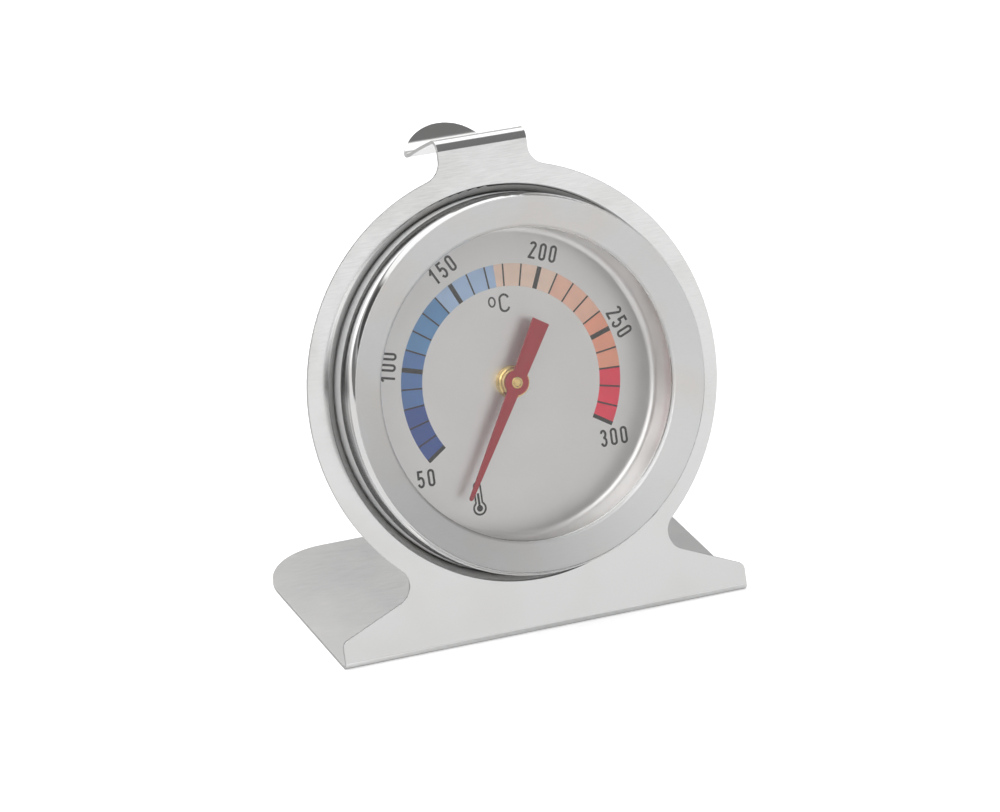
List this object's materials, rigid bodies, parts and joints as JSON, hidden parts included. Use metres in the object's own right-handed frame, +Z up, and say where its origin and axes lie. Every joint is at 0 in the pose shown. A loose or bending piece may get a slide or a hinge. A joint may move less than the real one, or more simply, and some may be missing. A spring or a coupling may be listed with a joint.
{
  "type": "oven thermometer",
  "caption": "Round bimetal dial thermometer in a leaning bent sheet stand with a flat foot and a hook tab on top.",
  "frame": {"origin": "centre of the footprint's bounding box, on the surface that the foot rests on", "axes": "+Z up, +Y to the rear, so the dial faces -Y and leans back 20.3 degrees; +X to the right seen from the front"},
  "size_m": [0.0664, 0.0462, 0.0707],
  "materials": {
    "stand_steel": "satin stainless sheet, fine grain, crisp sheared edges",
    "bezel_steel": "satin face, polished skirt and shoulder",
    "glass": "clear flat glass",
    "dial_face": "fine satin aluminium with printed scale",
    "case_steel": "plain pressed stainless",
    "brass": "turned brass",
    "pointer_red": "matt red paint",
    "steel_small": "plated steel",
    "bimetal": "rolled bimetal strip, slightly straw coloured"
  },
  "bodies": {
    "root": {"stand_bracket": "stand_steel", "bezel_ring": "bezel_steel", "lens_glass": "glass", "dial_plate": "dial_face", "case_cup": "case_steel", "centre_bush": "brass", "anchor_arm": "steel_small", "anchor_rivet": "steel_small", "bimetal_coil": "bimetal", "bush_washer": "steel_small", "bush_nut": "brass"},
    "pointer": {"pointer": "pointer_red", "pointer_boss": "brass", "pointer_shaft": "brass", "coil_collet": "brass", "thrust_washer": "steel_small"}
  },
  "joints": [
    {"name": "pointer_turn", "type": "hinge", "parent": "root", "child": "pointer", "pos_m": [0, -0.0071, 0.03577], "axis": [0, 0.9379, -0.3469], "range_deg": [-24, 271], "stiffness_Nm_per_rad": 0.0003, "deforming": ["bimetal_coil"]}
  ]
}
